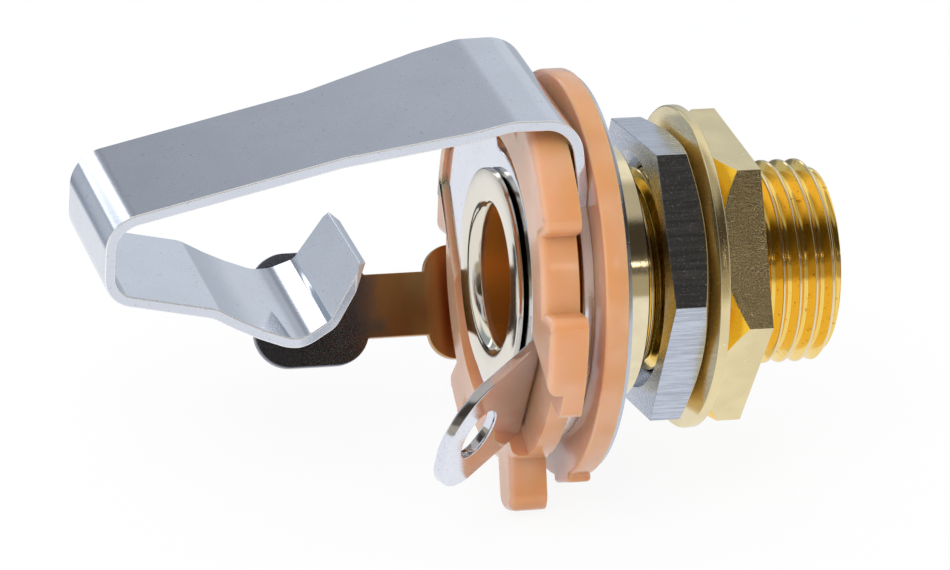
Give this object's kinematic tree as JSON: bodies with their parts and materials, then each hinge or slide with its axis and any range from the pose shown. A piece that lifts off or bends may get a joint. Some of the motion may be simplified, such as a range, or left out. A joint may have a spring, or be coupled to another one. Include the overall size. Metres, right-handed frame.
{
  "type": "phone jack socket",
  "caption": "Open-frame panel phone jack, quarter-inch mono: threaded bushing, nuts, washer, moulded insulators, solder lugs and a bent tip spring",
  "frame": {"origin": "On the bore axis, in the plane of the front insulator's front face, where the backing washer and collar bear", "axes": "+X along the plug bore to the threaded front end, the way the plug leaves; +Z from the bore up to the spring arm; +Y completes the right-handed set"},
  "size_m": [0.0348, 0.0203, 0.02],
  "materials": {
    "brass": "bright machined brass, turned marks round the axis",
    "steel": "thin plain steel washer, satin",
    "phenolic": "glossy moulded salmon-coloured thermoset, slightly translucent",
    "spring_plate": "bright plated spring strip with fine rolling lines",
    "terminal_plate": "smooth bright plated strip",
    "nickel": "nickel plate over brass, fine brushed lines"
  },
  "bodies": {
    "frame": {"bushing": "brass", "backing_washer": "steel", "front_insulator": "phenolic", "spring_base": "spring_plate", "tip_terminal": "terminal_plate", "rear_insulator": "phenolic", "sleeve_terminal": "terminal_plate"},
    "arm": {"spring_arm": "spring_plate"},
    "contact": {"tip_contact": "spring_plate"},
    "inner_nut_body": {"inner_nut": "nickel"},
    "washer_body": {"flat_washer": "brass"},
    "outer_nut_body": {"outer_nut": "brass"}
  },
  "joints": [
    {"name": "arm_flex", "type": "hinge", "parent": "frame", "child": "arm", "pos_m": [-0.0034, 0, 0.00985], "axis": [0, 1, 0], "range_deg": [0, 8], "stiffness_Nm_per_rad": 0.4},
    {"name": "contact_flex", "type": "hinge", "parent": "arm", "child": "contact", "pos_m": [-0.0226, 0, 0.0034], "axis": [0, -1, 0], "range_deg": [0, 16.5], "stiffness_Nm_per_rad": 0.15},
    {"name": "inner_nut_turn", "type": "hinge", "parent": "frame", "child": "inner_nut_body", "pos_m": [0.00384, 0, 0], "axis": [1, 0, 0], "range_deg": [-360, 25]},
    {"name": "washer_slide", "type": "slide", "parent": "frame", "child": "washer_body", "axis": [1, 0, 0], "range_m": [0, 0.00317]},
    {"name": "outer_nut_turn", "type": "hinge", "parent": "washer_body", "child": "outer_nut_body", "pos_m": [0.0065, 0, 0], "axis": [1, 0, 0], "range_deg": [0, 1440]}
  ],
  "couplings": [
    {"joint": "contact_flex", "follows": "arm_flex", "ratio": 2.05},
    {"joint": "outer_nut_turn", "follows": "washer_slide", "rad_per_m": 7915.8}
  ]
}
